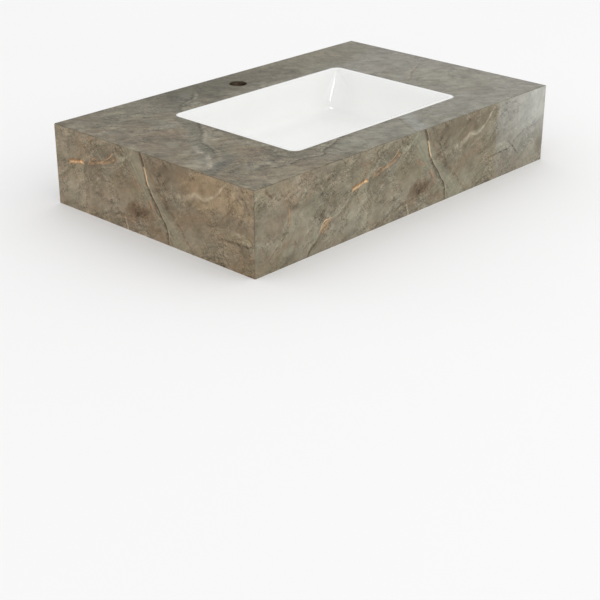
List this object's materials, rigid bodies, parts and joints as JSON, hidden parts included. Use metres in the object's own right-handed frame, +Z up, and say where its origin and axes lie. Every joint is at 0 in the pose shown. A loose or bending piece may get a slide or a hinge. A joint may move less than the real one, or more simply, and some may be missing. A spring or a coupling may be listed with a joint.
{
  "type": "vanity sink top",
  "caption": "Wall-hung stone-slab vanity top with mitred aprons, a flush inset ceramic basin, a tap hole, a push-open waste and wall brackets.",
  "frame": {"origin": "middle of the footprint, at the lower edge of the aprons", "axes": "+X to the user's right when facing the wall, +Y towards the wall, +Z up"},
  "size_m": [0.8, 0.5, 0.15],
  "materials": {
    "polished_stone": "satin-polished, brown-grey with darker and paler veins and thin copper ones",
    "glazed_ceramic": "white gloss glaze",
    "sealed_plywood": "sealed moisture-proof plywood",
    "white_sealant": "smooth white sealant",
    "black_rubber": "matt black rubber",
    "chrome": "polished chrome",
    "zinc_steel": "zinc-plated steel",
    "painted_steel": "black powder coat",
    "brass": "machined brass",
    "moulded_plastic": "moulded black plastic"
  },
  "bodies": {
    "top": {"top_panel": "polished_stone", "front_apron": "polished_stone", "left_apron": "polished_stone", "right_apron": "polished_stone", "left_edge_strip": "polished_stone", "right_edge_strip": "polished_stone", "front_rail": "sealed_plywood", "back_rail": "sealed_plywood", "left_bearer": "sealed_plywood", "right_bearer": "sealed_plywood", "left_corner_block": "sealed_plywood", "right_corner_block": "sealed_plywood", "basin": "glazed_ceramic", "rim_sealant": "white_sealant", "bedding_sealant": "white_sealant", "clip_left_front": "zinc_steel", "clip_left_back": "zinc_steel", "clip_right_front": "zinc_steel", "clip_right_back": "zinc_steel", "clip_screw_left_front": "zinc_steel", "clip_screw_left_back": "zinc_steel", "clip_screw_right_front": "zinc_steel", "clip_screw_right_back": "zinc_steel", "clip_anchor_left_front": "brass", "clip_anchor_left_back": "brass", "clip_anchor_right_front": "brass", "clip_anchor_right_back": "brass", "overflow_ring": "chrome", "waste_body": "chrome", "waste_seat_seal": "black_rubber", "waste_cone_seal": "black_rubber", "waste_washer": "zinc_steel", "waste_locknut": "brass", "plug_cartridge": "moulded_plastic", "left_bracket": "painted_steel", "right_bracket": "painted_steel", "left_arm_cap": "moulded_plastic", "right_arm_cap": "moulded_plastic", "bracket_screw_left_front": "zinc_steel", "bracket_screw_left_back": "zinc_steel", "bracket_screw_right_front": "zinc_steel", "bracket_screw_right_back": "zinc_steel"},
    "plug": {"plug_cap": "chrome", "plug_seal": "black_rubber", "plug_stem": "zinc_steel"}
  },
  "joints": [
    {"name": "plug_lift", "type": "slide", "parent": "top", "child": "plug", "axis": [0, 0, 1], "range_m": [0, 0.009]}
  ]
}
